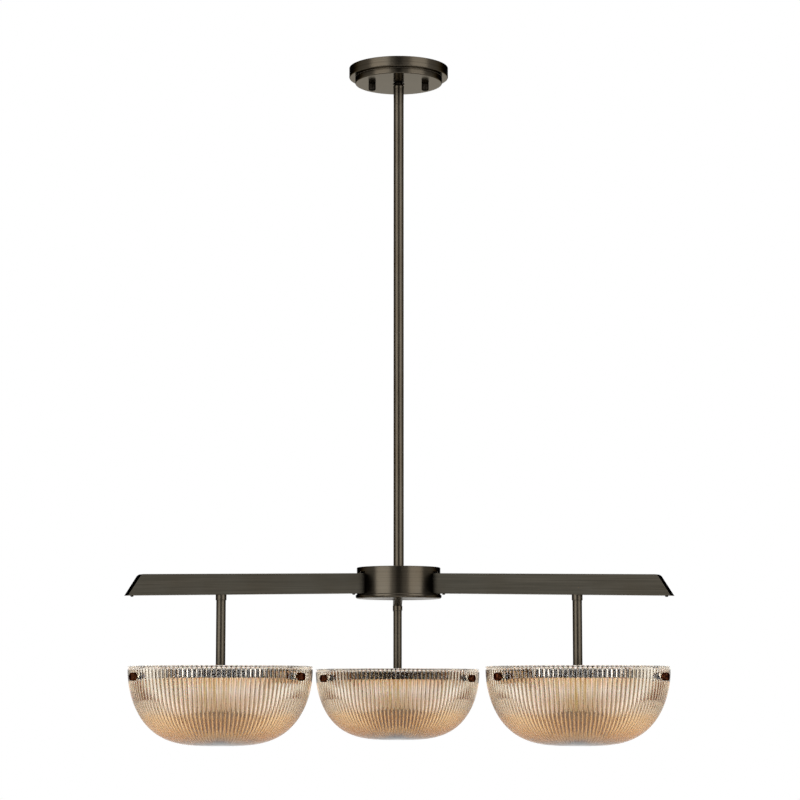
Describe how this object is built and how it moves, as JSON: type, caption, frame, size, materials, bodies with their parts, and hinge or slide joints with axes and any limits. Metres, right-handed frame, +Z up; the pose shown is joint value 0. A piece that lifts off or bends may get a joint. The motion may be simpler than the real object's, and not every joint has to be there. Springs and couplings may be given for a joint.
{
  "type": "chandelier",
  "caption": "Pendant chandelier with a ceiling canopy, straight rod, drum hub and slim box arms that carry ribbed glass bowls open at the top.",
  "frame": {"origin": "centre of the canopy where it meets the ceiling, which is the centre of the mounting plate's screw pattern", "axes": "+Z up out of the ceiling face, along the rods; +Y points away from the viewer along the back arm; +X to the viewer's right"},
  "size_m": [0.665, 0.6199, 0.8819],
  "materials": {
    "bronze_metal": "brushed dark bronze",
    "dark_bronze_metal": "dark bronze",
    "brown_bronze_metal": "oiled brown bronze",
    "zinc_plated_steel": "zinc plated",
    "milled_aluminium": "milled",
    "ground_green": "green dyed zinc",
    "lamp_board_white": "white solder mask",
    "opal_diffuser": "opal, satin",
    "amber_glass": "pressed, clear light amber"
  },
  "bodies": {
    "ceiling_mount": {"mounting_plate": "zinc_plated_steel", "ground_screw": "ground_green", "canopy_studs": "zinc_plated_steel", "canopy": "bronze_metal", "canopy_nuts": "dark_bronze_metal"},
    "swivel_ring": {"swivel_seat": "zinc_plated_steel"},
    "fixture": {"swivel_ball": "dark_bronze_metal", "bell_coupling": "bronze_metal", "upper_rod": "bronze_metal", "rod_nipple": "zinc_plated_steel", "lower_rod": "bronze_metal", "hub_nipple": "zinc_plated_steel", "hub_locknut": "zinc_plated_steel", "hub_drum": "bronze_metal", "hub_core": "milled_aluminium", "hub_plate": "bronze_metal", "arm_screws": "zinc_plated_steel", "cover_screws": "dark_bronze_metal", "stem_nipples": "zinc_plated_steel", "channel_nuts": "zinc_plated_steel", "holder_bolts": "zinc_plated_steel", "arm_left": "bronze_metal", "arm_right": "bronze_metal", "arm_back": "bronze_metal", "arm_cover_left": "dark_bronze_metal", "arm_cover_right": "dark_bronze_metal", "arm_cover_back": "dark_bronze_metal", "collar_left": "bronze_metal", "collar_right": "bronze_metal", "collar_back": "bronze_metal", "stem_left": "bronze_metal", "stem_right": "bronze_metal", "stem_back": "bronze_metal", "holder_left": "dark_bronze_metal", "holder_right": "dark_bronze_metal", "holder_back": "dark_bronze_metal", "lamp_pan_left": "dark_bronze_metal", "lamp_pan_right": "dark_bronze_metal", "lamp_pan_back": "dark_bronze_metal", "lamp_board_left": "lamp_board_white", "lamp_board_right": "lamp_board_white", "lamp_board_back": "lamp_board_white", "diffuser_left": "opal_diffuser", "diffuser_right": "opal_diffuser", "diffuser_back": "opal_diffuser", "glass_bowl_left": "amber_glass", "glass_bowl_right": "amber_glass", "glass_bowl_back": "amber_glass"},
    "screw_left_1": {"thumbscrew_left_1": "brown_bronze_metal"},
    "screw_left_2": {"thumbscrew_left_2": "brown_bronze_metal"},
    "screw_left_3": {"thumbscrew_left_3": "brown_bronze_metal"},
    "screw_right_1": {"thumbscrew_right_1": "brown_bronze_metal"},
    "screw_right_2": {"thumbscrew_right_2": "brown_bronze_metal"},
    "screw_right_3": {"thumbscrew_right_3": "brown_bronze_metal"},
    "screw_back_1": {"thumbscrew_back_1": "brown_bronze_metal"},
    "screw_back_2": {"thumbscrew_back_2": "brown_bronze_metal"},
    "screw_back_3": {"thumbscrew_back_3": "brown_bronze_metal"}
  },
  "joints": [
    {"name": "swivel_turn", "type": "hinge", "parent": "ceiling_mount", "child": "swivel_ring", "pos_m": [0, 0, -0.01], "axis": [0, 0, 1], "range_deg": [-175, 175]},
    {"name": "swivel_tilt", "type": "hinge", "parent": "swivel_ring", "child": "fixture", "pos_m": [0, 0, -0.01], "axis": [1, 0, 0], "range_deg": [-12, 12]},
    {"name": "screw_left_1_out", "type": "slide", "parent": "fixture", "child": "screw_left_1", "axis": [0.866, -0.5, 0], "range_m": [0, 0.0065]},
    {"name": "screw_left_2_out", "type": "slide", "parent": "fixture", "child": "screw_left_2", "axis": [0, 1, 0], "range_m": [0, 0.0065]},
    {"name": "screw_left_3_out", "type": "slide", "parent": "fixture", "child": "screw_left_3", "axis": [-0.866, -0.5, 0], "range_m": [0, 0.0065]},
    {"name": "screw_right_1_out", "type": "slide", "parent": "fixture", "child": "screw_right_1", "axis": [0.866, -0.5, 0], "range_m": [0, 0.0065]},
    {"name": "screw_right_2_out", "type": "slide", "parent": "fixture", "child": "screw_right_2", "axis": [0, 1, 0], "range_m": [0, 0.0065]},
    {"name": "screw_right_3_out", "type": "slide", "parent": "fixture", "child": "screw_right_3", "axis": [-0.866, -0.5, 0], "range_m": [0, 0.0065]},
    {"name": "screw_back_1_out", "type": "slide", "parent": "fixture", "child": "screw_back_1", "axis": [0.866, -0.5, 0], "range_m": [0, 0.0065]},
    {"name": "screw_back_2_out", "type": "slide", "parent": "fixture", "child": "screw_back_2", "axis": [0, 1, 0], "range_m": [0, 0.0065]},
    {"name": "screw_back_3_out", "type": "slide", "parent": "fixture", "child": "screw_back_3", "axis": [-0.866, -0.5, 0], "range_m": [0, 0.0065]}
  ]
}
